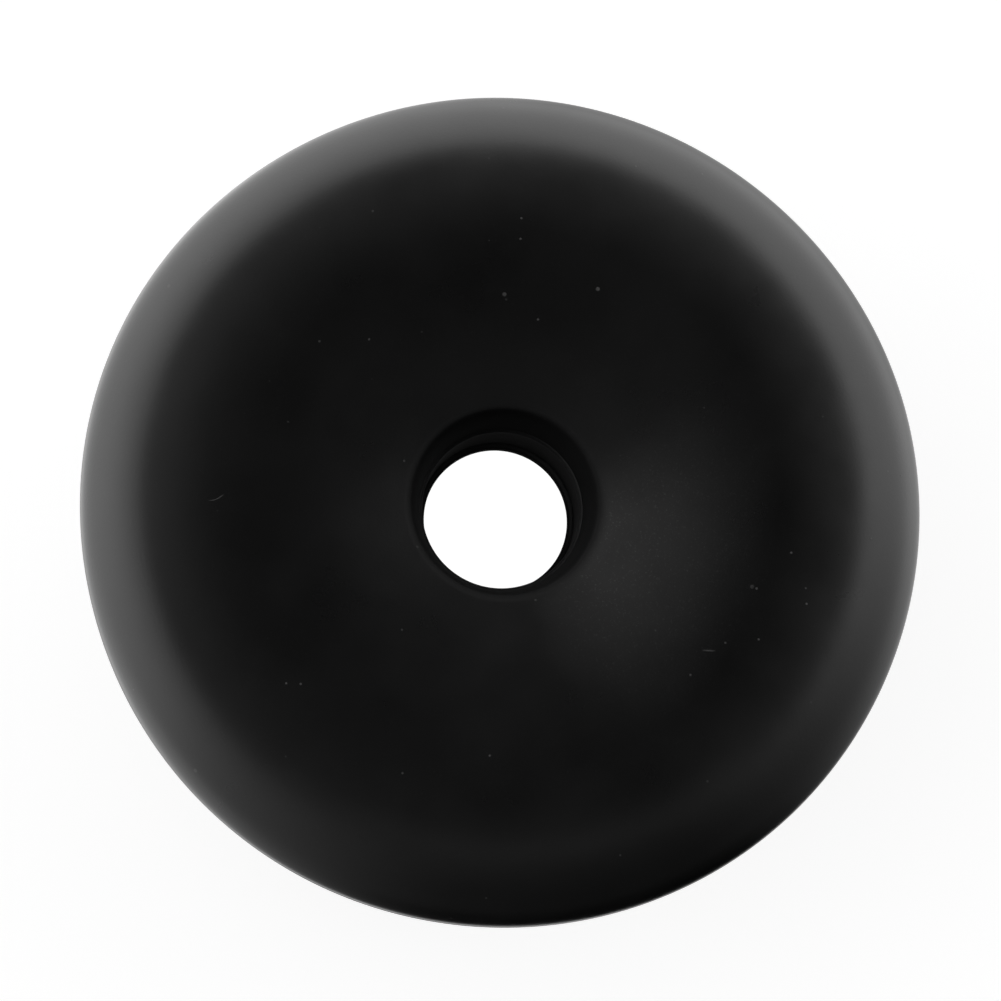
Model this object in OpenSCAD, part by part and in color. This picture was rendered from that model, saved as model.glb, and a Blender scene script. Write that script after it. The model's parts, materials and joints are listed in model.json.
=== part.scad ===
// Head of a sink plunger: a low, broad rubber cup with a rolled shoulder and a dished crown.
// The mouth is down, on the plane z = 0, and the Z axis is the axis of the head.
// The rubber is one moulding, cut here into the zones that move and fold against each other.
// A sleeve that takes the end of the handle is moulded into the hub and locked from inside the cup.

/* [Rubber head] */
// Widest diameter, across the rolled shoulder
head_d = 120; // [114:1:132]
// Height of the crest of the shoulder above the mouth
head_h = 52; // [50:1:60]
// Diameter of the crest circle
crest_d = 78; // [74:1:84]
// Depth of the dish, from the crest down to the hub
dish_depth = 4; // [3:0.5:6]
// Height of the shoulder's roll, from the crest down to the widest circle
shoulder_drop = 10; // [8:0.5:11]
// Diameter at which the crown bends down into the flank of the shoulder
bend_d = 103; // [100:1:106]
// Thickness of the rubber at the crest
crown_wall = 5; // [4:0.5:6]
// Thickness of the rubber at the widest circle
roll_wall = 7.5; // [6:0.5:9]

/* [Cup wall] */
// Outside diameter at the narrow waist of the folding wall
waist_d = 96; // [90:1:97]
// Thickness of the folding wall at the waist
waist_wall = 2.8; // [2:0.1:3.4]
// Height of the skirt, which stands on the fixture
skirt_h = 14; // [10:1:15]
// Outside diameter of the bead round the mouth
mouth_d = 106; // [102:1:110]
// Width of the flat foot that seals round the drain
foot_w = 3.6; // [2:0.1:4.5]

/* [Handle socket] */
// Depth of the tapered rubber mouth of the socket, down to the sleeve
throat_l = 7; // [5:0.5:8]
// Diameter of the handle that the socket takes
handle_d = 22.2; // [19:0.1:23]
// Clearance between the handle and the sleeve, on the diameter
handle_play = 0.3; // [0.1:0.1:0.8]
// Length of the sleeve
sleeve_l = 11.5; // [10:0.5:13]
// How far the stop at the bottom of the sleeve stands in from its bore
stop_w = 0.85; // [0.5:0.05:1.5]
// Outside diameter of the backing washer
washer_d = 42; // [38:1:43]
// Outside diameter of the lock ring
lock_d = 36; // [33:1:37]
// Number of grip notches round the lock ring
notches = 8; // [6:1:12]

/* [Hidden] */
$fn = 128;

RUBBER = "#161616";
PLASTIC = "#0e0e0f";
STEEL = "#9a9d9f";

// Steps along each curved stretch of a profile
STEPS = 14;
// Share of the height of the roll's underside over which it stays nearly upright
ROUND = 0.6;

head_r = head_d / 2;
crest_r = crest_d / 2;
widest_z = head_h - shoulder_drop;
bend = [bend_d / 2, head_h - 0.17 * shoulder_drop];
// Fall of the flank for each millimetre out from the bend
bend_fall = [1, -0.43];

// The folding wall runs from the top of the skirt to the underside of the shoulder.
fold_l = 19;
fold_top_z = skirt_h + fold_l;
waist_r = waist_d / 2;
waist_z = skirt_h + fold_l / 2;
fold_out_r = waist_r + 2.5;
fold_in_r = fold_out_r - waist_wall - 0.4;
skirt_out_r = waist_r + 2;
skirt_in_r = skirt_out_r - waist_wall - 0.7;

mouth_r = mouth_d / 2;
bead_h = 5;
foot_out_r = mouth_r - 1.2;
foot_in_r = foot_out_r - foot_w;

bore_r = (handle_d + handle_play) / 2;
sleeve_wall = 1.35;
sleeve_r = bore_r + sleeve_wall;
bore_chamfer = 0.45;
throat_r = bore_r + bore_chamfer;
stop_r = bore_r - stop_w;
stop_h = 1.5;
hub_r = 22;
hub_edge_r = sleeve_r + 1;
hub_top_z = head_h - dish_depth;
sleeve_top_z = hub_top_z - throat_l;
sleeve_bottom_z = sleeve_top_z - sleeve_l;
ring_h = 3.4;
washer_h = 1.6;
ring_z = sleeve_bottom_z + 0.5;
washer_z = ring_z + ring_h;
hub_bottom_z = washer_z + washer_h;

// The flange that is buried in the rubber of the hub
flange_r = sleeve_r + 3.6;
flange_h = 1.5;
flange_z = hub_bottom_z + 1.6;

washer_bore_r = sleeve_r + 0.3;
notch_r = 1.6;

// Points of a cubic Bezier from a to d, without its last point.
function curve(a, b, c, d) = [
    for (i = [0 : STEPS - 1])
        let (t = i / STEPS, s = 1 - t)
            s * s * s * a + 3 * s * s * t * b + 3 * s * t * t * c + t * t * t * d
];

// Height of the top of the dish at radius r. It is steepest at the hub and level at the crest.
function dish_top(r) = hub_top_z + dish_depth * sin(90 * (r - hub_edge_r) / (crest_r - hub_edge_r));

// Height of the underside of the dish at radius r. It is level at the hub and at the crest.
function dish_under(r) =
    let (u = (r - hub_r) / (crest_r - hub_r))
        hub_bottom_z + (head_h - crown_wall - hub_bottom_z) * (1 - cos(180 * u)) / 2;

// Radii at even steps from r0 to r1.
function radii(r0, r1) = [for (i = [0 : STEPS]) r0 + (r1 - r0) * i / STEPS];

// Points along the top and the underside of the dish, from r0 to r1.
function along_top(r0, r1) = [for (r = radii(r0, r1)) [r, dish_top(r)]];
function along_under(r0, r1) = [for (r = radii(r0, r1)) [r, dish_under(r)]];

// The ring that stands on the fixture, with a bead and a flat foot round the mouth.
module skirt() {
    neck_r = mouth_r - 1.6;
    outer = concat(
        curve([skirt_out_r, skirt_h], [skirt_out_r + 0.5, skirt_h - 4],
            [neck_r, bead_h + 3], [neck_r, bead_h]),
        curve([neck_r, bead_h], [neck_r, bead_h - 1.2],
            [mouth_r, bead_h - 1.2], [mouth_r, bead_h - 2.6]),
        curve([mouth_r, bead_h - 2.6], [mouth_r, 0.9], [mouth_r - 0.5, 0], [foot_out_r, 0])
    );
    inner = concat(
        [[foot_out_r, 0]],
        curve([foot_in_r, 0], [foot_in_r - 1, 0.6], [foot_in_r - 1.4, 2], [foot_in_r - 1.4, 4]),
        curve([foot_in_r - 1.4, 4], [foot_in_r - 1.4, 7], [skirt_in_r - 0.2, skirt_h - 5],
            [skirt_in_r, skirt_h]),
        [[skirt_in_r, skirt_h]]
    );
    color(RUBBER)
        rotate_extrude()
            polygon(concat(outer, inner));
}

// The thin wall that folds as the head is pushed down.
module flex_wall() {
    outer = concat(
        curve([fold_out_r, fold_top_z], [waist_r + 0.7, fold_top_z - 2],
            [waist_r, waist_z + 4], [waist_r, waist_z]),
        curve([waist_r, waist_z], [waist_r, waist_z - 4],
            [skirt_out_r - 0.5, skirt_h + 4], [skirt_out_r, skirt_h]),
        [[skirt_out_r, skirt_h]]
    );
    waist_in_r = waist_r - waist_wall;
    inner = concat(
        curve([skirt_in_r, skirt_h], [skirt_in_r - 0.2, skirt_h + 4],
            [waist_in_r, waist_z - 4], [waist_in_r, waist_z]),
        curve([waist_in_r, waist_z], [waist_in_r, waist_z + 4],
            [waist_in_r + 0.4, fold_top_z - 3], [fold_in_r, fold_top_z]),
        [[fold_in_r, fold_top_z]]
    );
    color(RUBBER)
        rotate_extrude()
            polygon(concat(outer, inner));
}

// The rolled ring round the crown, from the crest over the widest circle to the fold.
module shoulder() {
    roll_h = widest_z - fold_top_z;
    in_r = head_r - roll_wall;
    in_z = widest_z - 1;
    outer = concat(
        curve([crest_r, head_h], [(crest_r + bend.x) / 2, head_h], bend - 2.8 * bend_fall, bend),
        curve(bend, bend + 3 * bend_fall, [head_r, widest_z + 3.4], [head_r, widest_z]),
        curve([head_r, widest_z], [head_r, widest_z - ROUND * roll_h],
            [fold_out_r + 5.5, fold_top_z + 2.2], [fold_out_r, fold_top_z]),
        [[fold_out_r, fold_top_z]]
    );
    inner = concat(
        curve([fold_in_r, fold_top_z], [fold_in_r + 1.6, fold_top_z + 4],
            [in_r, in_z - 4], [in_r, in_z]),
        curve([in_r, in_z], [in_r, in_z + 3],
            [crest_r + 8, head_h - crown_wall], [crest_r, head_h - crown_wall]),
        [[crest_r, head_h - crown_wall]]
    );
    color(RUBBER)
        rotate_extrude()
            polygon(concat(outer, inner));
}

// The dished web between the crest and the hub, which deepens under a push.
module dish_web() {
    color(RUBBER)
        rotate_extrude()
            polygon(concat(along_top(hub_r, crest_r), along_under(crest_r, hub_r)));
}

// The thick rubber round the handle hole, moulded over the sleeve and its flange.
module hub() {
    color(RUBBER)
        rotate_extrude()
            polygon(concat(
                [
                    [sleeve_r, flange_z + flange_h],
                    [sleeve_r, sleeve_top_z]
                ],
                curve([throat_r, sleeve_top_z], [throat_r + 0.4, sleeve_top_z + 0.57 * throat_l],
                    [hub_edge_r - 0.9, hub_top_z - 0.3], [hub_edge_r, hub_top_z]),
                along_top(hub_edge_r, hub_r),
                [
                    [hub_r, hub_bottom_z],
                    [sleeve_r, hub_bottom_z],
                    [sleeve_r, flange_z],
                    [flange_r, flange_z],
                    [flange_r, flange_z + flange_h]
                ]
            ));
}

// The sleeve that the handle pushes into, with a stop at its lower end.
module socket_sleeve() {
    color(PLASTIC)
        rotate_extrude()
            polygon([
                [stop_r, sleeve_bottom_z],
                [sleeve_r, sleeve_bottom_z],
                [sleeve_r, flange_z],
                [flange_r, flange_z],
                [flange_r, flange_z + flange_h],
                [sleeve_r, flange_z + flange_h],
                [sleeve_r, sleeve_top_z],
                [throat_r, sleeve_top_z],
                [bore_r, sleeve_top_z - bore_chamfer],
                [bore_r, sleeve_bottom_z + stop_h],
                [stop_r, sleeve_bottom_z + stop_h]
            ]);
}

// The steel washer that spreads the pull of the handle over the hub.
module backing_washer() {
    color(STEEL)
        translate([0, 0, washer_z])
            difference() {
                cylinder(h = washer_h, d = washer_d);
                translate([0, 0, -1])
                    cylinder(h = washer_h + 2, r = washer_bore_r);
            }
}

// The ring that locks on the lower end of the sleeve, with notches to turn it by.
module lock_ring() {
    color(PLASTIC)
        translate([0, 0, ring_z])
            difference() {
                cylinder(h = ring_h, d = lock_d);
                translate([0, 0, -1])
                    cylinder(h = ring_h + 2, r = sleeve_r);
                for (i = [0 : notches - 1])
                    rotate([0, 0, i * 360 / notches])
                        translate([lock_d / 2, 0, -1])
                            cylinder(h = ring_h + 2, r = notch_r);
            }
}

skirt();
flex_wall();
shoulder();
dish_web();
hub();
socket_sleeve();
backing_washer();
lock_ring();
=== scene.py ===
"""Looks for the head of a sink plunger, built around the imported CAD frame.

The head stands mouth down on the floor, with its axis on +Z. All lengths are in metres.
Every piece is a ring, made by turning a closed outline about the axis.
"""

import json
import math

import bpy
import numpy as np
from mathutils import Matrix, Vector


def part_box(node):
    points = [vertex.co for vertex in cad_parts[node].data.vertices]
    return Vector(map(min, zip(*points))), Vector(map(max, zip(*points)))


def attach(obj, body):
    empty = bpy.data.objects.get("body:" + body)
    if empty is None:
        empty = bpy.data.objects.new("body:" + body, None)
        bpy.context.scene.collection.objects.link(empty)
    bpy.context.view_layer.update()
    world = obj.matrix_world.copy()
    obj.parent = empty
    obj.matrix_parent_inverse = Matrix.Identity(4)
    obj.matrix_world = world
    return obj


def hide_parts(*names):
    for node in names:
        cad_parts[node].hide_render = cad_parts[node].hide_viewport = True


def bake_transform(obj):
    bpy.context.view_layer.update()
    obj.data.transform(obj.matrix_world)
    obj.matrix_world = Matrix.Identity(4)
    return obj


MM = 0.001
SEGMENTS = 288

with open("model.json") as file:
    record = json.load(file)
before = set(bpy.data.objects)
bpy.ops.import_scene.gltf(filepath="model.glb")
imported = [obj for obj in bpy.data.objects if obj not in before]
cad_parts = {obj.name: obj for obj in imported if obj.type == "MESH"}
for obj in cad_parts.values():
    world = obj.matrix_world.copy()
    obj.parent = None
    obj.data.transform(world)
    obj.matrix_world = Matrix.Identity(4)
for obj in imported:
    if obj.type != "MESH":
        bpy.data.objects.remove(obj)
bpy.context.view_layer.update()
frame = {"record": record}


# ---------------------------------------------------------------- dimensions from the frame

def node_r(node):
    """Outer radius of a round CAD node."""
    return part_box(node)[1].x


def node_z(node):
    """Lowest and highest height of a CAD node."""
    low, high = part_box(node)
    return low.z, high.z


# shoulder: the crest circle, the bend of the crown and the widest circle
HEAD_R = node_r("shoulder")
CREST_R = node_r("dish_web")
BEND_R = 51.5 * MM
FOLD_Z, CREST_Z = node_z("shoulder")
SHOULDER_DROP = 10.0 * MM
WIDEST_Z = CREST_Z - SHOULDER_DROP
CROWN_WALL = 5.0 * MM
ROLL_WALL = 7.5 * MM

# folding wall and skirt
SKIRT_Z = node_z("skirt")[1]
MOUTH_R = node_r("skirt")
WAIST_WALL = 2.8 * MM
FOLD_OUT_R = node_r("flex_wall")
FOLD_IN_R = FOLD_OUT_R - WAIST_WALL - 0.4 * MM
WAIST_R = FOLD_OUT_R - 2.5 * MM
WAIST_Z = (SKIRT_Z + FOLD_Z) / 2

# sleeve, and the hub with its tapered mouth
SOCKET = next(m for m in frame["record"]["mounts"] if m["name"] == "handle_socket")
BORE_R = SOCKET["dims"]["r_mm"] * MM
SLEEVE_R = BORE_R + 1.35 * MM
SLEEVE_BOTTOM_Z, SLEEVE_TOP_Z = node_z("socket_sleeve")
FLANGE_R = node_r("socket_sleeve")
THROAT_R = BORE_R + 0.45 * MM
THROAT_L = 7.0 * MM
HUB_R = node_r("hub")
HUB_EDGE_R = SLEEVE_R + 1.0 * MM
HUB_BOTTOM_Z = node_z("hub")[0]
HUB_TOP_Z = SLEEVE_TOP_Z + THROAT_L

# washer and lock ring
WASHER_R = node_r("backing_washer")
WASHER_BOTTOM_Z, WASHER_TOP_Z = node_z("backing_washer")
LOCK_R = node_r("lock_ring")
RING_BOTTOM_Z, RING_TOP_Z = node_z("lock_ring")
NOTCHES = 8
NOTCH_R = 1.6 * MM


# ---------------------------------------------------------------- outlines

def curve(a, b, c, d, steps):
    """Points of a cubic Bezier from a to d, without its last point."""
    a, b, c, d = (np.array(p, float) for p in (a, b, c, d))
    t = np.arange(steps)[:, None] / steps
    s = 1 - t
    return list(s**3 * a + 3 * s * s * t * b + 3 * s * t * t * c + t**3 * d)


def ease(u):
    """0 to 1 over a stretch, level at both ends."""
    return (1 - math.cos(math.pi * u)) / 2


def dish_top(r):
    """Height of the top of the dish at radius r. It is steepest at the hub and level at the crest."""
    turn = math.pi / 2 * (r - HUB_EDGE_R) / (CREST_R - HUB_EDGE_R)
    return HUB_TOP_Z + (CREST_Z - HUB_TOP_Z) * math.sin(turn)


def dish_under(r):
    """Height of the underside of the hub and the dish at radius r."""
    rim_z = CREST_Z - CROWN_WALL
    if r <= HUB_R:
        return HUB_BOTTOM_Z
    return HUB_BOTTOM_Z + (rim_z - HUB_BOTTOM_Z) * ease((r - HUB_R) / (CREST_R - HUB_R))


def along(height, r0, r1, steps):
    """Points on a height function of the radius, from r0 to r1, without the last one."""
    return [np.array((r, height(r))) for r in np.linspace(r0, r1, steps + 1)[:-1]]


def along_height(r, z0, z1, steps):
    """Points straight up or down at radius r, from z0 to z1, without the last one."""
    return [(r, z) for z in np.linspace(z0, z1, steps + 1)[:-1]]


def corner(r, z):
    """A point of an outline at which the surface turns sharply."""
    return (r, z, "sharp")


def wobble(p):
    """Slight unevenness of the moulding, the same for every piece, so that their edges still meet."""
    angle = np.arctan2(p[:, 1], p[:, 0])
    r = np.hypot(p[:, 0], p[:, 1])
    share = np.clip(r / HEAD_R, 0, 1) ** 2
    lift = 0.10 * np.sin(2 * angle + 0.7) + 0.06 * np.sin(3 * angle + 2.1) + 0.03 * np.sin(7 * angle)
    out = 0.12 * np.sin(2 * angle + 1.9) + 0.05 * np.sin(5 * angle + 0.4)
    moved = p.copy()
    above_fold = np.clip((p[:, 2] - SKIRT_Z) / (CREST_Z - SKIRT_Z), 0, 1)
    moved[:, 2] += lift * share * above_fold * MM
    moved[:, 0] += out * share * np.cos(angle) * MM
    moved[:, 1] += out * share * np.sin(angle) * MM
    return moved


def turned(name, outline, uneven=True, segments=SEGMENTS, reshape=None):
    """A closed ring made by turning a closed outline of (r, z) points about the axis.

    reshape takes the radii of all points and their angles, and gives back new radii.
    """
    points = [(float(p[0]), float(p[1])) for p in outline]
    sharp = [len(p) > 2 for p in outline]
    area = sum(a[0] * b[1] - b[0] * a[1] for a, b in zip(points, points[1:] + points[:1]))
    if area < 0:
        points.reverse()
        sharp.reverse()
    rings = len(points)
    angles = np.arange(segments) * 2 * math.pi / segments
    r = np.repeat([[p[0]] for p in points], segments, axis=1)
    if reshape is not None:
        r = reshape(r, angles)
    co = np.empty((rings, segments, 3))
    co[:, :, 0] = r * np.cos(angles)
    co[:, :, 1] = r * np.sin(angles)
    co[:, :, 2] = np.array([p[1] for p in points])[:, None]
    co = co.reshape(-1, 3)
    if uneven:
        co = wobble(co)
    j, i = np.meshgrid(np.arange(rings), np.arange(segments), indexing="ij")
    j2, i2 = (j + 1) % rings, (i + 1) % segments
    quads = np.stack(
        [j * segments + i, j * segments + i2, j2 * segments + i2, j2 * segments + i], axis=-1
    ).reshape(-1, 4)
    mesh = bpy.data.meshes.new(name)
    mesh.from_pydata(co.tolist(), [], quads.tolist())
    mesh.polygons.foreach_set("use_smooth", np.ones(len(mesh.polygons), bool))
    mark_sharp(mesh, [k for k in range(rings) if sharp[k]], segments)
    mesh.update()
    piece = bpy.data.objects.new(name, mesh)
    bpy.context.scene.collection.objects.link(piece)
    return piece


def mark_sharp(mesh, rings, segments):
    """Marks the edges round the given rings of a turned mesh as sharp."""
    ends = np.empty(len(mesh.edges) * 2, np.int32)
    mesh.edges.foreach_get("vertices", ends)
    ring_of = ends.reshape(-1, 2) // segments
    hard = (ring_of[:, 0] == ring_of[:, 1]) & np.isin(ring_of[:, 0], rings)
    layer = mesh.attributes.get("sharp_edge") or mesh.attributes.new("sharp_edge", "BOOLEAN", "EDGE")
    layer.data.foreach_set("value", hard)


# ---------------------------------------------------------------- rubber pieces

def parting_line(r, z):
    """The thin ridge that the joint of the mould leaves, round radius r and height z."""
    profile = ((0.0, 0.2), (0.02, 0.12), (0.10, 0.07), (0.13, 0.0), (0.10, -0.07), (0.0, -0.12))
    return [np.array((r + out * MM, z + up * MM)) for out, up in profile]


def crown_roll():
    """The rolled shoulder, from the crest over the widest circle and under to the fold."""
    bend = np.array((BEND_R, CREST_Z - 0.17 * SHOULDER_DROP))
    bend_fall = np.array((1.0, -0.43)) * MM
    under = 0.6 * (WIDEST_Z - FOLD_Z)
    in_r = HEAD_R - ROLL_WALL
    in_z = WIDEST_Z - 1.0 * MM
    outline = [corner(CREST_R, CREST_Z)]
    outline += curve((CREST_R, CREST_Z), ((CREST_R + bend[0]) / 2, CREST_Z),
                     bend - 2.8 * bend_fall, bend, 48)[1:]
    outline += curve(bend, bend + 3.0 * bend_fall,
                     (HEAD_R, WIDEST_Z + 3.4 * MM), (HEAD_R, WIDEST_Z), 48)
    lower = curve((HEAD_R, WIDEST_Z), (HEAD_R, WIDEST_Z - under),
                  (FOLD_OUT_R + 5.5 * MM, FOLD_Z + 2.2 * MM), (FOLD_OUT_R, FOLD_Z), 60)
    outline += lower[:8] + parting_line(*lower[8]) + lower[9:]
    outline += [corner(FOLD_OUT_R, FOLD_Z), corner(FOLD_IN_R, FOLD_Z)]
    outline += curve((FOLD_IN_R, FOLD_Z), (FOLD_IN_R + 1.6 * MM, FOLD_Z + 4.0 * MM),
                     (in_r, in_z - 4.0 * MM), (in_r, in_z), 24)[1:]
    outline += curve((in_r, in_z), (in_r, in_z + 3.0 * MM),
                     (CREST_R + 8.0 * MM, CREST_Z - CROWN_WALL), (CREST_R, CREST_Z - CROWN_WALL), 24)
    outline += [corner(CREST_R, CREST_Z - CROWN_WALL)]
    piece = turned("crown_roll", outline)
    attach(piece, "crown")
    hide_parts("shoulder")
    return piece


def middle(r):
    """Height of the middle of the web."""
    return (dish_top(max(r, HUB_EDGE_R)) + dish_under(r)) / 2


def dish_upper():
    """The upper half of the dished web and hub, down to the mouth of the sleeve."""
    outline = [corner(THROAT_R, SLEEVE_TOP_Z)]
    outline += curve((THROAT_R, SLEEVE_TOP_Z), (THROAT_R + 0.4 * MM, SLEEVE_TOP_Z + 0.57 * THROAT_L),
                     (HUB_EDGE_R - 0.9 * MM, HUB_TOP_Z - 0.3 * MM), (HUB_EDGE_R, HUB_TOP_Z), 40)[1:]
    outline += along(dish_top, HUB_EDGE_R, CREST_R, 110)
    outline += [corner(CREST_R, CREST_Z), corner(CREST_R, middle(CREST_R))]
    outline += along(middle, CREST_R, HUB_EDGE_R, 50)[1:]
    outline += [corner(HUB_EDGE_R, middle(HUB_EDGE_R)), corner(SLEEVE_R, SLEEVE_TOP_Z)]
    piece = turned("dish_upper", outline)
    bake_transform(piece)
    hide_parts("dish_web")
    return piece


def dish_lower():
    """The lower half of the dished web, and the flat face of the hub that the washer bears on."""
    outline = [corner(SLEEVE_R, HUB_BOTTOM_Z), corner(SLEEVE_R, middle(HUB_EDGE_R))]
    outline += along(middle, HUB_EDGE_R, CREST_R, 50)[1:]
    outline += [corner(CREST_R, middle(CREST_R)), corner(CREST_R, CREST_Z - CROWN_WALL)]
    outline += along(dish_under, CREST_R, HUB_R, 60)[1:]
    outline += along(dish_under, HUB_R, SLEEVE_R, 8)
    piece = turned("dish_lower", outline)
    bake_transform(piece)
    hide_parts("hub")
    return piece


def cup_wall():
    """The folding wall and the skirt, down to the bead and the foot of the mouth."""
    skirt_out_r = WAIST_R + 2.0 * MM
    skirt_in_r = skirt_out_r - WAIST_WALL - 0.7 * MM
    waist_in_r = WAIST_R - WAIST_WALL
    bead_z = 5.0 * MM
    neck_r = MOUTH_R - 1.6 * MM
    foot_out_r = MOUTH_R - 1.2 * MM
    foot_in_r = foot_out_r - 3.6 * MM
    lip_r = foot_in_r - 1.4 * MM
    outline = [corner(FOLD_OUT_R, FOLD_Z)]
    outline += curve((FOLD_OUT_R, FOLD_Z), (WAIST_R + 0.7 * MM, FOLD_Z - 2.0 * MM),
                     (WAIST_R, WAIST_Z + 4.0 * MM), (WAIST_R, WAIST_Z), 30)[1:]
    outline += curve((WAIST_R, WAIST_Z), (WAIST_R, WAIST_Z - 4.0 * MM),
                     (skirt_out_r - 0.5 * MM, SKIRT_Z + 4.0 * MM), (skirt_out_r, SKIRT_Z), 24)
    outline += curve((skirt_out_r, SKIRT_Z), (skirt_out_r + 0.5 * MM, SKIRT_Z - 4.0 * MM),
                     (neck_r, bead_z + 3.0 * MM), (neck_r, bead_z), 20)
    outline += curve((neck_r, bead_z), (neck_r, bead_z - 1.2 * MM),
                     (MOUTH_R, bead_z - 1.2 * MM), (MOUTH_R, bead_z - 2.6 * MM), 12)
    outline += curve((MOUTH_R, bead_z - 2.6 * MM), (MOUTH_R, 0.9 * MM),
                     (MOUTH_R - 0.5 * MM, 0), (foot_out_r, 0), 12)
    outline += along(lambda r: 0.0, foot_out_r, foot_in_r, 6)
    outline += curve((foot_in_r, 0), (foot_in_r - 1.0 * MM, 0.6 * MM),
                     (lip_r, 2.0 * MM), (lip_r, 4.0 * MM), 14)
    outline += curve((lip_r, 4.0 * MM), (lip_r, 7.0 * MM),
                     (skirt_in_r - 0.2 * MM, SKIRT_Z - 5.0 * MM), (skirt_in_r, SKIRT_Z), 14)
    outline += curve((skirt_in_r, SKIRT_Z), (skirt_in_r - 0.2 * MM, SKIRT_Z + 4.0 * MM),
                     (waist_in_r, WAIST_Z - 4.0 * MM), (waist_in_r, WAIST_Z), 24)
    outline += curve((waist_in_r, WAIST_Z), (waist_in_r, WAIST_Z + 4.0 * MM),
                     (waist_in_r + 0.4 * MM, FOLD_Z - 3.0 * MM), (FOLD_IN_R, FOLD_Z), 30)
    outline += [corner(FOLD_IN_R, FOLD_Z)]
    piece = turned("cup_wall", outline)
    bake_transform(piece)
    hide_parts("skirt", "flex_wall")
    return piece


# ---------------------------------------------------------------- socket fittings

def bevelled(r0, z0, r1, z1, bevel):
    """Outline of a ring from radius r0 to r1 and height z0 to z1, with small bevels on its edges."""
    b = bevel
    return [(r0 + b, z0), (r1 - b, z0), (r1 - 0.3 * b, z0 + 0.3 * b), (r1, z0 + b),
            (r1, z1 - b), (r1 - 0.3 * b, z1 - 0.3 * b), (r1 - b, z1), (r0 + b, z1),
            (r0 + 0.3 * b, z1 - 0.3 * b), (r0, z1 - b), (r0, z0 + b), (r0 + 0.3 * b, z0 + 0.3 * b)]


def fitting(name, node, outline, **shape):
    """A turned piece that takes the place of one CAD node of the socket."""
    piece = turned(name, outline, uneven=False, **shape)
    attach(piece, "socket")
    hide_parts(node)
    return piece


def sleeve_lining():
    """The sleeve, with its stop, its buried flange and a bevel at every edge that shows."""
    stop_r = BORE_R - 0.85 * MM
    stop_z = SLEEVE_BOTTOM_Z + 1.5 * MM
    flange_z = HUB_BOTTOM_Z + 1.6 * MM
    outline = [
        (stop_r + 0.25 * MM, SLEEVE_BOTTOM_Z), corner(SLEEVE_R - 0.3 * MM, SLEEVE_BOTTOM_Z),
        corner(SLEEVE_R, SLEEVE_BOTTOM_Z + 0.3 * MM), corner(SLEEVE_R, flange_z),
        corner(FLANGE_R, flange_z), corner(FLANGE_R, flange_z + 1.5 * MM),
        corner(SLEEVE_R, flange_z + 1.5 * MM), corner(SLEEVE_R, SLEEVE_TOP_Z),
        corner(THROAT_R, SLEEVE_TOP_Z), (BORE_R + 0.1 * MM, SLEEVE_TOP_Z - 0.3 * MM),
        (BORE_R, SLEEVE_TOP_Z - 0.6 * MM),
    ]
    outline += along_height(BORE_R, SLEEVE_TOP_Z - 0.8 * MM, stop_z + 0.9 * MM, 12)
    outline += curve((BORE_R, stop_z + 0.9 * MM), (BORE_R, stop_z + 0.4 * MM),
                     (stop_r, stop_z + 0.4 * MM), (stop_r, stop_z - 0.1 * MM), 12)
    outline += [(stop_r, SLEEVE_BOTTOM_Z + 0.25 * MM), (stop_r + 0.07 * MM, SLEEVE_BOTTOM_Z + 0.07 * MM)]
    return fitting("sleeve_lining", "socket_sleeve", outline)


def washer():
    """The pressed steel washer, with rolled edges."""
    return fitting("washer", "backing_washer",
                   bevelled(SLEEVE_R + 0.3 * MM, WASHER_BOTTOM_Z, WASHER_R, WASHER_TOP_Z, 0.35 * MM))


def lock():
    """The notched lock ring. A shallow step runs round its lower face."""
    bevel = 0.45 * MM
    step_r = SLEEVE_R + 0.5 * (LOCK_R - SLEEVE_R)
    step_z = RING_BOTTOM_Z + 0.4 * MM
    outline = [
        (SLEEVE_R + 0.3 * MM, RING_BOTTOM_Z), corner(step_r - 0.3 * MM, RING_BOTTOM_Z),
        corner(step_r, step_z), (LOCK_R - bevel, step_z),
        (LOCK_R - 0.3 * bevel, step_z + 0.3 * bevel), (LOCK_R, step_z + bevel),
        (LOCK_R, RING_TOP_Z - bevel), (LOCK_R - 0.3 * bevel, RING_TOP_Z - 0.3 * bevel),
        (LOCK_R - bevel, RING_TOP_Z), corner(SLEEVE_R, RING_TOP_Z),
        corner(SLEEVE_R, RING_BOTTOM_Z + 0.3 * MM),
    ]

    def notched(r, angles):
        pitch = 2 * math.pi / NOTCHES
        off = (angles + pitch / 2) % pitch - pitch / 2
        reach = NOTCH_R**2 - (LOCK_R * np.sin(off)) ** 2
        floor_r = LOCK_R * np.cos(off) - np.sqrt(np.clip(reach, 0, None))
        cut = np.where(reach > 0, LOCK_R - floor_r, 0.0)
        return np.where(r > LOCK_R - 2 * bevel, r - cut, r)

    return fitting("lock", "lock_ring", outline, segments=720, reshape=notched)


# ---------------------------------------------------------------- materials

def new_material(name):
    """A new material, its node tree and its Principled shader."""
    material = bpy.data.materials.new(name)
    material.use_nodes = True
    tree = material.node_tree
    return material, tree, tree.nodes["Principled BSDF"]


def add(tree, kind, **inputs):
    """A node of that kind with the given input values. Underscores in a name stand for spaces."""
    node = tree.nodes.new(kind)
    for key, value in inputs.items():
        node.inputs[key.replace("_", " ")].default_value = value
    return node


def object_point(tree):
    return tree.nodes.new("ShaderNodeTexCoord").outputs["Object"]


def noise(tree, point, scale, detail=4.0, roughness=0.55):
    node = add(tree, "ShaderNodeTexNoise", Scale=scale, Detail=detail, Roughness=roughness)
    tree.links.new(point, node.inputs["Vector"])
    return node.outputs["Fac"]


def spread(tree, value, low, high, to_low, to_high):
    """Maps low..high of a value to to_low..to_high, clamped."""
    node = add(tree, "ShaderNodeMapRange", From_Min=low, From_Max=high, To_Min=to_low, To_Max=to_high)
    tree.links.new(value, node.inputs["Value"])
    return node.outputs["Result"]


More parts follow.
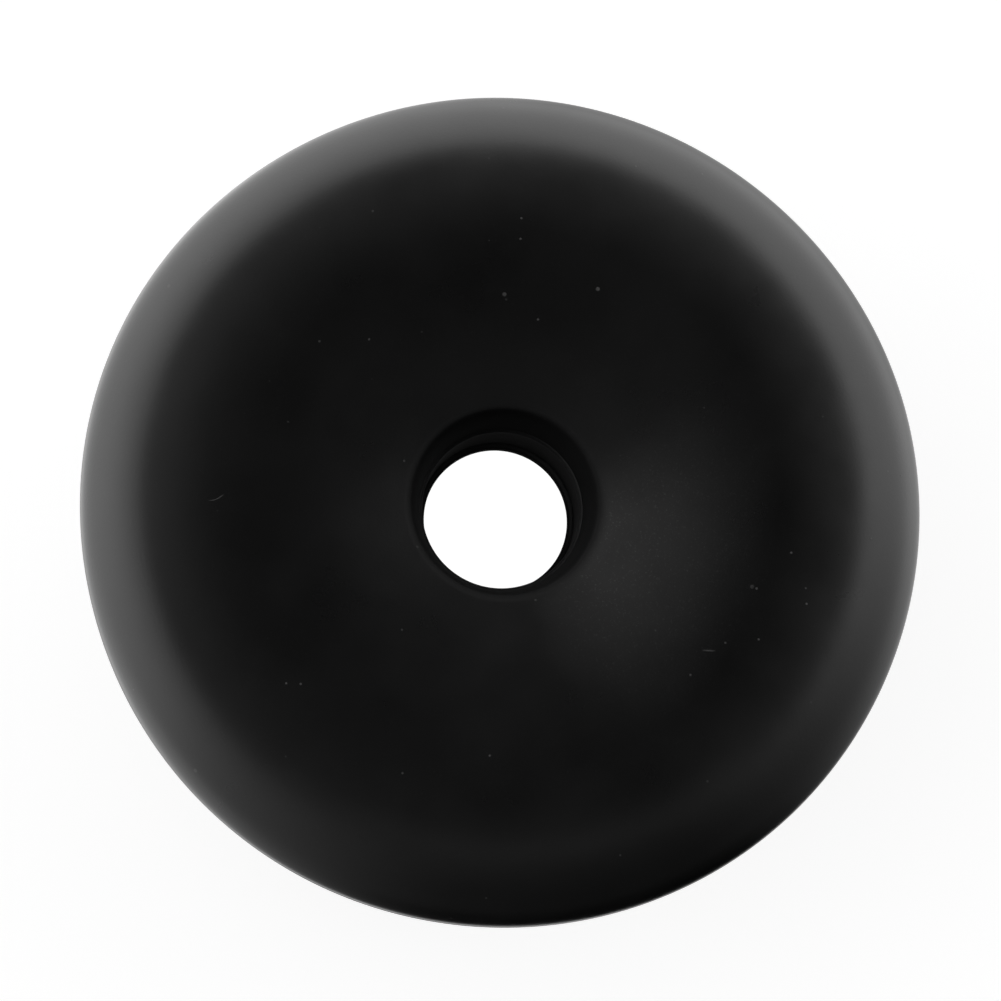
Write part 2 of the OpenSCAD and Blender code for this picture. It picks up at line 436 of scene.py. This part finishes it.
def smooth(tree, value, low, high):
    """0 to 1 as a value goes from low to high, level at both ends. Each end is a number or a socket."""
    node = tree.nodes.new("ShaderNodeMapRange")
    node.interpolation_type = "SMOOTHSTEP"
    for name, given in (("Value", value), ("From Min", low), ("From Max", high)):
        if isinstance(given, bpy.types.NodeSocket):
            tree.links.new(given, node.inputs[name])
        else:
            node.inputs[name].default_value = given
    return node.outputs["Result"]


def mix_colour(tree, share, a, b):
    """A colour that goes from a to b. Each is three numbers or a colour socket."""
    node = tree.nodes.new("ShaderNodeMix")
    node.data_type = "RGBA"
    tree.links.new(share, node.inputs["Factor"])
    ends = [s for s in node.inputs if s.type == "RGBA"]
    for socket, value in zip(ends, (a, b)):
        if isinstance(value, bpy.types.NodeSocket):
            tree.links.new(value, socket)
        else:
            socket.default_value = (*value, 1)
    return next(s for s in node.outputs if s.type == "RGBA")


def maths(tree, kind, a, b=0.0):
    """One step of arithmetic. Each value is a number or a socket."""
    node = tree.nodes.new("ShaderNodeMath")
    node.operation = kind
    for socket, value in zip(node.inputs, (a, b)):
        if isinstance(value, bpy.types.NodeSocket):
            tree.links.new(value, socket)
        else:
            socket.default_value = value
    return node.outputs[0]


def split(tree, point):
    node = tree.nodes.new("ShaderNodeSeparateXYZ")
    tree.links.new(point, node.inputs[0])
    return node.outputs


def from_axis(tree, x, y):
    """Distance from the Z axis."""
    squares = maths(tree, "ADD", maths(tree, "MULTIPLY", x, x), maths(tree, "MULTIPLY", y, y))
    return maths(tree, "SQRT", squares)


def towards(tree, x, y, r, east, north):
    """How far a point's direction from the axis agrees with the level direction (east, north)."""
    reach = maths(tree, "ADD", maths(tree, "MULTIPLY", x, east), maths(tree, "MULTIPLY", y, north))
    return maths(tree, "DIVIDE", reach, r)


def facing(tree, xyz, direction):
    """Cosine of the angle between a unit vector, given by its parts, and a fixed direction."""
    axis = Vector(direction).normalized()
    total = maths(tree, "MULTIPLY", xyz[0], axis.x)
    for part, weight in zip(xyz[1:], axis[1:]):
        total = maths(tree, "ADD", total, maths(tree, "MULTIPLY", part, weight))
    return total


def bump(tree, height, distance, strength=1.0, below=None):
    node = add(tree, "ShaderNodeBump", Strength=strength, Distance=distance)
    tree.links.new(height, node.inputs["Height"])
    if below is not None:
        tree.links.new(below, node.inputs["Normal"])
    return node.outputs["Normal"]


def specks(tree, point, cells, size, share):
    """0.3 to 1 inside small round specks, 0 elsewhere.

    size is in cell widths. share is the part of the cells that has a speck.
    """
    node = add(tree, "ShaderNodeTexVoronoi", Scale=cells)
    tree.links.new(point, node.inputs["Vector"])
    red, green, _ = split(tree, node.outputs["Color"])
    chosen = maths(tree, "GREATER_THAN", red, 1 - share)
    near = spread(tree, node.outputs["Distance"], size, 0.6 * size, 0, 1)
    strength = spread(tree, green, 0, 1, 0.3, 1.0)
    return maths(tree, "MULTIPLY", maths(tree, "MULTIPLY", chosen, near), strength)


def lint(tree, point):
    """1 along a few short curled fibres."""
    line = maths(tree, "ABSOLUTE", maths(tree, "SUBTRACT", noise(tree, point, 230, 0), 0.5))
    thin = spread(tree, line, 0.016, 0.005, 0, 0.8)
    return maths(tree, "MULTIPLY", thin, specks(tree, point, 100, 0.13, 0.18))


def paint_dish_highlight(tree, x, y, z, r, patchy):
    """A painted highlight: a pale haze painted into the dish where light falls, mostly towards +X and a
    little towards -Y.
    """
    side = smooth(tree, towards(tree, x, y, r, 0.91, -0.41), 0.55, 1.05)
    dish_highlight = maths(tree, "MULTIPLY", side, smooth(tree, r, 1.05 * CREST_R, HUB_EDGE_R))
    dish_highlight = maths(tree, "MULTIPLY", dish_highlight, spread(tree, r, HUB_EDGE_R, HUB_EDGE_R + 1.5 * MM, 0, 1.35))
    dish_highlight = maths(tree, "MULTIPLY", dish_highlight, spread(tree, z, HUB_TOP_Z - 1.0 * MM, HUB_TOP_Z, 0, 1))
    return maths(tree, "MULTIPLY", dish_highlight, patchy)


def bend_highlight_and_wear(tree, x, y, z, r, patchy):
    """The slightly paler ring where the crown bends down, strongest towards +X and +Y: partly wear,
    partly a painted highlight where light falls on the bend.
    """
    worn_and_lit = maths(tree, "MULTIPLY", smooth(tree, r, CREST_R - 1 * MM, BEND_R - 2 * MM),
                 smooth(tree, r, HEAD_R - 3 * MM, BEND_R))
    side = spread(tree, towards(tree, x, y, r, 0.80, 0.60), -0.2, 0.9, 0.2, 1.0)
    worn_and_lit = maths(tree, "MULTIPLY", worn_and_lit, side)
    worn_and_lit = maths(tree, "MULTIPLY", worn_and_lit, spread(tree, z, WIDEST_Z, WIDEST_Z + 3 * MM, 0, 1))
    return maths(tree, "MULTIPLY", worn_and_lit, patchy)


def dirt(tree, point, z):
    """Specks of dust and a few fibres, fewer of them below the shoulder."""
    dust = specks(tree, point, 420, 0.085, 0.22)
    dust = maths(tree, "MAXIMUM", dust, specks(tree, point, 230, 0.08, 0.08))
    dust = maths(tree, "MAXIMUM", dust, lint(tree, point))
    return maths(tree, "MULTIPLY", dust, spread(tree, z, FOLD_Z, WIDEST_Z, 0.3, 1.0))


def rubber():
    """Black moulded rubber: matte, with a fine grain, sparse dust, a faint painted highlight in the
    dish, a paler bend that is partly wear and partly painted highlight, and a throat dulled as painted
    shade.
    """
    material, tree, shader = new_material("rubber_black")
    point = object_point(tree)
    x, y, z = split(tree, point)
    r = from_axis(tree, x, y)
    pale = (0.9, 0.9, 0.89)
    patchy = spread(tree, noise(tree, point, 120, 5), 0.3, 0.7, 0.7, 1.25)
    # painted highlight: a pale haze in the dish where light falls
    dish_highlight = paint_dish_highlight(tree, x, y, z, r, patchy)
    # a pale ring at the bend: partly wear, partly painted highlight
    worn_and_lit = bend_highlight_and_wear(tree, x, y, z, r, patchy)
    dust = dirt(tree, point, z)
    # the fine pale grain shows more where the dish highlight is painted
    grit = maths(tree, "MULTIPLY", spread(tree, noise(tree, point, 3400, 2), 0.60, 0.78, 0, 1),
                 maths(tree, "ADD", maths(tree, "MULTIPLY", dish_highlight, 0.035), 0.006))
    # painted shade: the throat round the hole is made duller and rougher, darkening the recess
    throat_shade = smooth(tree, r, HUB_EDGE_R + 1.0 * MM, HUB_EDGE_R - 0.4 * MM)

    cloud = spread(tree, noise(tree, point, 34, 5), 0.30, 0.72, 0, 1)
    base = mix_colour(tree, cloud, (0.0016, 0.0016, 0.00165), (0.0044, 0.0044, 0.0045))
    # the painted highlight in the dish is mixed into the colour
    base = mix_colour(tree, maths(tree, "MULTIPLY", dish_highlight, 0.0135), base, pale)
    # the paler bend, part wear and part painted highlight, is mixed into the colour
    base = mix_colour(tree, maths(tree, "MULTIPLY", worn_and_lit, 0.019), base, pale)
    base = mix_colour(tree, grit, base, pale)
    base = mix_colour(tree, maths(tree, "MULTIPLY", dust, 0.06), base, pale)
    tree.links.new(base, shader.inputs["Base Color"])

    rough = spread(tree, noise(tree, point, 90, 6), 0.3, 0.7, 0.27, 0.33)
    rough = maths(tree, "ADD", rough, maths(tree, "MULTIPLY", throat_shade, 0.35))
    rough = maths(tree, "ADD", rough, maths(tree, "MULTIPLY", dust, 0.3))
    tree.links.new(rough, shader.inputs["Roughness"])
    # less sheen in the throat, as painted shade in the recess
    tree.links.new(spread(tree, throat_shade, 0, 1, 0.5, 0.10), shader.inputs["Specular IOR Level"])
    grain = bump(tree, noise(tree, point, 2600, 3), 0.02 * MM, 0.5)
    tree.links.new(bump(tree, dust, 0.03 * MM, 0.4, grain), shader.inputs["Normal"])
    return material


def plastic(name, colour, roughness, sheen=0.5):
    """Black moulded plastic, half matte, with slight changes of tone and gloss."""
    material, tree, shader = new_material(name)
    shader.inputs["Specular IOR Level"].default_value = sheen
    point = object_point(tree)
    base = mix_colour(tree, noise(tree, point, 300), colour, [c * 1.5 for c in colour])
    tree.links.new(base, shader.inputs["Base Color"])
    tree.links.new(spread(tree, noise(tree, point, 160), 0.3, 0.7, roughness - 0.05, roughness + 0.07),
                   shader.inputs["Roughness"])
    tree.links.new(bump(tree, noise(tree, point, 1800), 0.01 * MM, 0.4), shader.inputs["Normal"])
    return material


def steel():
    """Zinc-plated steel with a mottled grain."""
    material, tree, shader = new_material("washer_zinc")
    point = object_point(tree)
    base = mix_colour(tree, noise(tree, point, 220, 6), (0.42, 0.43, 0.44), (0.62, 0.63, 0.64))
    tree.links.new(base, shader.inputs["Base Color"])
    shader.inputs["Metallic"].default_value = 1.0
    tree.links.new(spread(tree, noise(tree, point, 500), 0.3, 0.7, 0.3, 0.5), shader.inputs["Roughness"])
    tree.links.new(bump(tree, noise(tree, point, 1500), 0.01 * MM, 0.4), shader.inputs["Normal"])
    return material


def paint(piece, material):
    piece.data.materials.clear()
    piece.data.materials.append(material)


# ---------------------------------------------------------------- stage

def stage_material(name, glow, albedo):
    """A dull grey material that also glows evenly."""
    material, tree, shader = new_material(name)
    shader.inputs["Base Color"].default_value = (albedo, albedo, albedo, 1)
    shader.inputs["Roughness"].default_value = 1.0
    shader.inputs["Specular IOR Level"].default_value = 0.0
    shader.inputs["Emission Color"].default_value = (1, 1, 1, 1)
    shader.inputs["Emission Strength"].default_value = glow
    return material


def stage_ring(name, r0, r1, z, material):
    """A flat ring that is part of the stage."""
    steps = 96
    turns = [math.radians(360 * k / steps) for k in range(steps + 1)]
    points = [(r * math.cos(t), r * math.sin(t), z) for t in turns for r in (r0, r1)]
    faces = [(2 * k, 2 * k + 1, 2 * k + 3, 2 * k + 2) for k in range(steps)]
    mesh = bpy.data.meshes.new(name)
    mesh.from_pydata(points, [], faces)
    mesh.materials.append(material)
    item = bpy.data.objects.new(name, mesh)
    bpy.context.scene.collection.objects.link(item)
    return item


def reflections_only(item):
    """Hides a stage object from everything but mirror-like reflections."""
    item.visible_camera = False
    item.visible_diffuse = False
    item.visible_shadow = False
    item.visible_transmission = False
    item.visible_glossy = True


def sky():
    """Soft studio light: bright low down at the back and sides, dark overhead and at the front."""
    world = bpy.data.worlds.new("studio")
    bpy.context.scene.world = world
    world.use_nodes = True
    tree = world.node_tree
    background = tree.nodes["Background"]
    xyz = split(tree, tree.nodes.new("ShaderNodeTexCoord").outputs["Generated"])
    x, y, z = xyz
    flat = maths(tree, "SQRT", maths(tree, "SUBTRACT", 1.000001, maths(tree, "MULTIPLY", z, z)))
    north = maths(tree, "DIVIDE", y, flat)
    east = maths(tree, "DIVIDE", x, flat)

    # low light all round, except at the front. It starts higher up at the back right
    above = facing(tree, xyz, (0.068, 0.18, 1.0))
    start = spread(tree, maths(tree, "ADD", east, north), -0.9, 0.6, 0.80, 0.89)
    low = smooth(tree, above, start, spread(tree, east, -0.2, 1.0, 0.24, 0.60))
    peak = spread(tree, east, -0.3, 1.0, 2.6, 1.65)
    dark_side = maths(tree, "ADD", maths(tree, "MULTIPLY", east, 0.3),
                      maths(tree, "MULTIPLY", north, -0.95))
    front = maths(tree, "POWER", spread(tree, dark_side, 0.97, 0.1, 0.0, 1.0), 1.2)
    front = maths(tree, "MULTIPLY", front, spread(tree, north, -0.6, 0.1, 0.5, 1.0))
    level = maths(tree, "MULTIPLY", maths(tree, "MULTIPLY", low, peak), front)

    # a dim ceiling round the dark patch overhead, and a small window high up at the back left
    ceiling = maths(tree, "MULTIPLY", spread(tree, above, 0.97, 0.80, 0.0, 0.16),
                    spread(tree, z, 0.55, 0.85, 0.1, 1.0))
    back_right = maths(tree, "ADD", east, north)
    ceiling = maths(tree, "MULTIPLY", ceiling, spread(tree, back_right, -0.4, 1.0, 1.0, 0.3))
    to_window = facing(tree, xyz, (-0.31, 0.27, 0.90))
    window = maths(tree, "POWER", spread(tree, to_window, 0.93, 0.995, 0.0, 0.42), 1.5)
    level = maths(tree, "ADD", level, maths(tree, "ADD", ceiling, window))
    level = maths(tree, "ADD", level, 0.03)
    tree.links.new(level, background.inputs["Strength"])
    background.inputs["Color"].default_value = (1, 1, 1, 1)


def fade_card(name, glow):
    """A glow that fades out towards the front, round -Y, and is dimmer close in at the back right."""
    material = stage_material(name, glow, 0.0)
    tree = material.node_tree
    x, y, _ = split(tree, object_point(tree))
    r = from_axis(tree, x, y)
    lit = smooth(tree, towards(tree, x, y, r, 0.3, -0.95), 0.95, 0.0)
    near = maths(tree, "MULTIPLY", spread(tree, towards(tree, x, y, r, 0.6, 0.8), 0.3, 0.9, 0, 0.65),
                 spread(tree, r, 0.10, 0.20, 1, 0))
    lit = maths(tree, "MULTIPLY", lit, maths(tree, "SUBTRACT", 1.0, near))
    shader = tree.nodes["Principled BSDF"]
    tree.links.new(maths(tree, "MULTIPLY", lit, glow), shader.inputs["Emission Strength"])
    return material


def studio():
    """A pale floor, and glowing discs and a ring that only the light paths named here can see."""
    stage_ring("floor", 0.0, 3.0, -0.02 * MM, stage_material("floor_pale", 0.82, 0.42))

    # the floor seen through the hole stays white
    pad = stage_ring("light_pad", 0.0, 40 * MM, 0.05 * MM, stage_material("pad_white", 1.05, 0.0))
    pad.visible_diffuse = False
    pad.visible_glossy = False
    pad.visible_shadow = False

    # under the head the floor sends up little light
    sleeve_foot_r, cup_r = 11.8 * MM, 46 * MM
    for name, r0, r1, glow in (("shade_middle", 0.0, sleeve_foot_r, 0.01),
                               ("shade_ring", sleeve_foot_r, cup_r, 0.10)):
        shade = stage_ring(name, r0, r1, 0.03 * MM, stage_material(name, glow, 0.02))
        shade.visible_camera = False

    reflections_only(stage_ring("bounce_card", 85 * MM, 2.5, 0.4 * MM, fade_card("card_white", 2.4)))
    sky()


# ---------------------------------------------------------------- camera

def camera():
    """Nearly straight down, leaning a little to the front left, with +Y up in the picture."""
    azimuth, elevation = math.radians(-26.0), math.radians(80.2)
    distance = 0.9
    back = Vector((math.sin(azimuth) * math.cos(elevation),
                   -math.cos(azimuth) * math.cos(elevation), math.sin(elevation)))
    right = Vector((0, 1, 0)).cross(back).normalized()
    up = back.cross(right)
    target = Vector((0, 0, WIDEST_Z))
    data = bpy.data.cameras.new("camera")
    data.sensor_width = 36.0
    frame_w = 0.14295
    data.lens = data.sensor_width * distance / frame_w
    item = bpy.data.objects.new("camera", data)
    item.matrix_world = Matrix((
        (right.x, up.x, back.x, target.x + back.x * distance),
        (right.y, up.y, back.y, target.y + back.y * distance),
        (right.z, up.z, back.z, target.z + back.z * distance),
        (0, 0, 0, 1),
    ))
    data.clip_start = 0.01
    data.clip_end = 20
    picture_w = 1001
    data.shift_x = -1.0 / picture_w
    data.shift_y = 8.2 / picture_w
    bpy.context.scene.collection.objects.link(item)
    bpy.context.scene.camera = item


def build_pieces():
    """All the pieces of the head, each with its material."""
    black = rubber()
    for piece in (crown_roll(), dish_upper(), dish_lower(), cup_wall()):
        paint(piece, black)
    sleeve = sleeve_lining()
    paint(sleeve, plastic("sleeve_black", (0.0075, 0.0075, 0.0078), 0.44, 0.28))
    ring = lock()
    paint(ring, plastic("ring_black", (0.010, 0.010, 0.0105), 0.42))
    plate = washer()
    paint(plate, steel())


camera()
studio()
bpy.context.scene.view_settings.view_transform = "Standard"
build_pieces()
